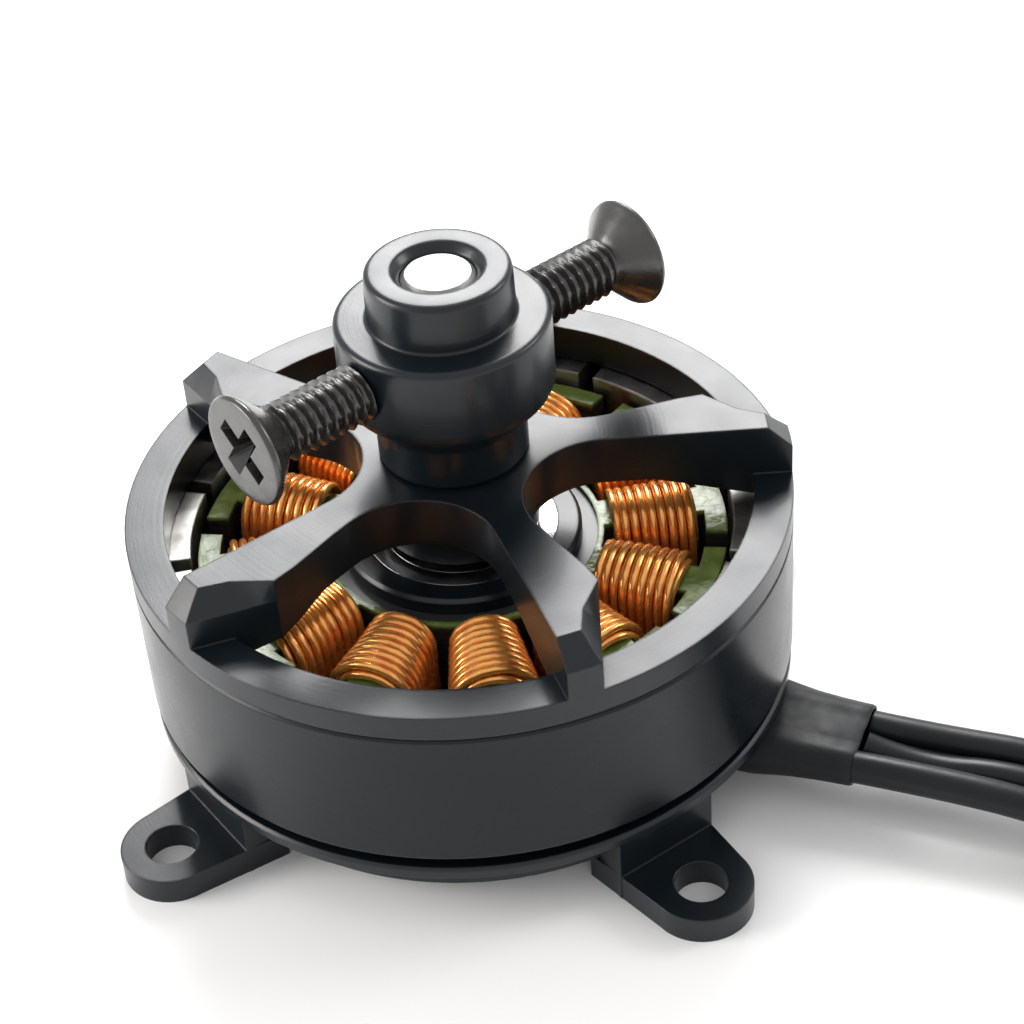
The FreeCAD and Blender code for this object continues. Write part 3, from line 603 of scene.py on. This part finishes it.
def screw_body():
    """Points and faces of a countersunk screw that points outward along Z from the axis."""
    segments = 48
    rows = []
    way = SCREW_TIP
    while way < THREAD_END:
        fade = min(1.0, (way - SCREW_TIP) / 0.5)
        rows.append([(thread_radius(way, step / segments) * (0.75 + 0.25 * fade), way)
                     for step in range(segments)])
        way += THREAD_STEP
    head = rounded_profile([(1.0, 8.15, 0), (1.02, 8.25, 0.05), (1.25, 8.45, 0.1), (2.26, 9.46, 0.12),
                            (2.28, 9.6, 0.06), (2.2, 9.74, 0.05), (1.9, 9.75, 0)])
    rows += [[spot] * segments for spot in head]
    verts = []
    for row in rows:
        for step, (radius, height) in enumerate(row):
            angle = FULL * step / segments
            verts.append(Vector((radius * math.cos(angle), radius * math.sin(angle), height)))
    faces = grid_faces(len(rows), segments)
    faces.append(ring_faces(0, segments, flip=True))
    faces.append(ring_faces((len(rows) - 1) * segments, segments))
    return verts, faces


def cross_cutter():
    """Points and faces of a tapered cross that cuts the recess, pointing up along Z."""
    verts = []
    faces = []
    for swap in (False, True):
        first = len(verts)
        for height, reach, blade in ((8.4, 0.52, 0.24), (10.2, 1.62, 0.46)):
            for x, y in ((-reach, -blade), (reach, -blade), (reach, blade), (-reach, blade)):
                verts.append(Vector((y, -x, height) if swap else (x, y, height)))
        faces += grid_faces(2, 4, first=first)
        faces += [ring_faces(first, 4, flip=True), ring_faces(first + 4, 4)]
    return verts, faces


def make_screws():
    """Both clamp screws, threaded and cross-recessed."""
    cutter_verts, cutter_faces = cross_cutter()
    body_verts, body_faces = screw_body()
    for side in range(2):
        out = towards(SCREW_TURN + 180 * side, SCREW_HEIGHT) @ Matrix.Rotation(math.pi / 2, 4, "Y")
        spin = out @ Matrix.Rotation(math.radians(RECESS_TURNS[side]), 4, "Z")
        cutter = bpy.data.meshes.new("cross_cutter")
        cutter.from_pydata([spin @ v * MM for v in cutter_verts], [], cutter_faces)
        tool = bpy.data.objects.new("cross_cutter", cutter)
        bpy.context.scene.collection.objects.link(tool)
        piece = add_piece(f"prop_screw_{side + 1}", [spin @ v * MM for v in body_verts], body_faces,
                          "screw_black", "rotor")
        cut = piece.modifiers.new("recess", "BOOLEAN")
        cut.operation = "DIFFERENCE"
        cut.solver = "EXACT"
        cut.use_self = True
        cut.object = tool
        bake_modifiers(piece)
        bpy.data.objects.remove(tool)
        piece.data.set_sharp_from_angle(angle=math.radians(35))
    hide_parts("prop_screws")


def bake_modifiers(piece):
    """Keep the evaluated mesh in place of the piece's modifiers."""
    graph = bpy.context.evaluated_depsgraph_get()
    made = bpy.data.meshes.new_from_object(piece.evaluated_get(graph))
    piece.modifiers.clear()
    piece.data = made


# ---- Leads --------------------------------------------------------------------------------------

def lead_spot(point):
    """A point given along, aside and up, in millimetres, in the row's frame in metres."""
    return towards(LEAD_TURN) @ Vector(point) * MM


def coil_points(radius):
    """Control points of a lead's turns in the coil, wound clockwise, the second layer on the first."""
    low, high = COIL_LEVELS
    start, end = CLIMB
    reach = radius / math.cos(math.radians(TURN_STEP / 2))
    points = []
    for step in range(int(COIL_SWEEP / TURN_STEP) + 1):
        sweep = TURN_STEP * step
        share = min(max((sweep - start) / (end - start), 0.0), 1.0)
        angle = math.radians(90 - sweep)
        points.append((COIL_MIDDLE[0] + reach * math.cos(angle), COIL_MIDDLE[1] + reach * math.sin(angle),
                       low + (high - low) * share))
    return points


def lead_points(lead):
    """A lead's whole route: out of the sleeve, round the coil and on to its connector."""
    return lead["out"] + coil_points(lead["radius"]) + lead["tail"]


def make_lead(letter, lead):
    """One silicone lead as a smooth spline."""
    data = bpy.data.curves.new(f"lead_{letter}_wire", "CURVE")
    data.dimensions = "3D"
    data.bevel_depth = LEAD_RADIUS * MM
    data.bevel_resolution = 6
    data.use_fill_caps = True
    spline = data.splines.new("NURBS")
    points = lead_points(lead)
    spline.points.add(len(points) - 1)
    for point, spot in zip(spline.points, points):
        point.co = (*lead_spot(spot), 1)
    spline.order_u = 3
    spline.use_endpoint_u = True
    spline.resolution_u = 8
    data.materials.append(looks["lead_silicone"].material)
    piece = bpy.data.objects.new(f"lead_{letter}_wire", data)
    bpy.context.scene.collection.objects.link(piece)
    replaced = [f"lead_{letter}", f"lead_{letter}_tail"]
    if letter == "b":
        replaced.append("lead_coil")
    finish_piece(piece, "base", replaced)
    return piece


def end_frame(lead):
    """A frame at a lead's end whose Z points the way the lead ends, in millimetres."""
    before, end = [lead_spot(spot) / MM for spot in lead["tail"][-2:]]
    turn = (end - before).to_track_quat("Z", "Y").to_matrix().to_4x4()
    return Matrix.Translation(end) @ turn


def make_bullet(letter, lead):
    """A bullet connector with its slotted spring barrel, and the heat-shrink over its cup."""
    place = end_frame(lead)
    profile = rounded_profile([
        (0.0, 0.0, 0), (0.98, 0.0, 0.1), (1.0, 4.0, 0.12), (0.74, 4.6, 0.12), (0.78, 5.2, 0.1),
        (1.03, 8.0, 0.9), (0.78, 10.7, 0.3), (0.72, 11.0, 0.1), (0.42, 12.0, 0.2), (0.0, 12.0, 0)])
    segments = 48
    verts = []
    for radius, height in profile:
        for step in range(segments):
            angle = FULL * step / segments
            near_slot = abs((4 * step / segments) % 1.0 - 0.5) < 0.06
            dip = 0.22 if near_slot and 5.3 < height < 10.6 else 0.0
            reach = max(radius - dip, 0.0)
            verts.append(place @ Vector((reach * math.cos(angle), reach * math.sin(angle), height)) * MM)
    faces = grid_faces(len(profile), segments)
    bullet = add_piece(f"bullet_{letter}_pin", verts, faces, "bullet_gold", "base", [f"bullet_{letter}"])
    shrink_profile = rounded_profile([
        (0.69, -2.6, 0), (0.80, -2.6, 0.05), (0.86, -1.2, 0.4), (1.2, 0.0, 0.5), (1.23, 4.2, 0.2),
        (1.1, 4.4, 0.06), (1.02, 4.4, 0), (1.02, 3.6, 0)])
    shrink_profile += [(1.01, 0.1), (0.69, -0.1), shrink_profile[0]]
    verts, faces = lathe(shrink_profile, 40, place)
    shrink = add_piece(f"bullet_{letter}_sleeve", verts, faces, "heat_shrink", "base",
                       [f"bullet_{letter}_shrink"])
    return [bullet, shrink]


def sleeve_outline(half, thick, waist, count):
    """A flat oval round three leads, drawn in between them by a waist."""
    outline = []
    for step in range(count):
        angle = FULL * step / count
        across = math.copysign(abs(math.cos(angle)) ** 0.55, math.cos(angle)) * half
        up = math.copysign(abs(math.sin(angle)) ** 0.75, math.sin(angle)) * thick / 2
        ripple = 1 - waist * (0.5 - 0.5 * math.cos(FULL * across / 1.46))
        outline.append((across, up * ripple))
    return outline


def make_sleeve():
    """The heat-shrink sleeve: a soft oval shell, drawn in between the leads towards its mouth."""
    count = 72
    stations = [(11.35, 2.60, 0.94, 0.0), (12.2, 2.66, 1.0, 0.02), (13.3, 2.64, 1.0, 0.04),
                (14.0, 2.50, 0.99, 0.07), (14.8, 2.36, 0.98, 0.10), (15.8, 2.27, 0.97, 0.13),
                (16.8, 2.22, 0.97, 0.15), (17.2, 2.21, 0.97, 0.16), (17.3, 2.16, 0.93, 0.16),
                (17.3, 2.04, 0.84, 0.16), (16.9, 1.98, 0.80, 0.16)]
    verts = []
    for along, half, share, waist in stations:
        for across, up in sleeve_outline(half, SLEEVE_THICK * share, waist, count):
            verts.append(lead_spot((along, across, SLEEVE_HEIGHT + up)))
    faces = grid_faces(len(stations), count)
    faces.append(ring_faces(0, count, flip=True))
    faces.append(ring_faces((len(stations) - 1) * count, count))
    return add_piece("lead_sleeve_shell", verts, faces, "heat_shrink", "base", ["lead_sleeve"])


def make_leads():
    """The sleeve, the three leads and the connectors; the coil's tie is left as its CAD node."""
    sleeve = make_sleeve()
    for letter, lead in LEADS.items():
        wire = make_lead(letter, lead)
        pieces = make_bullet(letter, lead)
        if letter == "b":
            pieces += [sleeve, frame["nodes"]["coil_tie"]]


# ---- Carried-over CAD nodes ---------------------------------------------------------------------

def dress_nodes():
    """Give each CAD node the material of its slot."""
    for entry in frame["record"]["subparts"]:
        node = frame["nodes"][entry["node"]]
        node.data.materials.clear()
        node.data.materials.append(looks[entry["material_slot"]].material)
        node.data.polygons.foreach_set("material_index", [0] * len(node.data.polygons))


looks = make_looks()
make_camera()
make_stage()
dress_nodes()
make_leads()
make_windings()
make_saver()
make_screws()
bpy.context.view_layer.update()
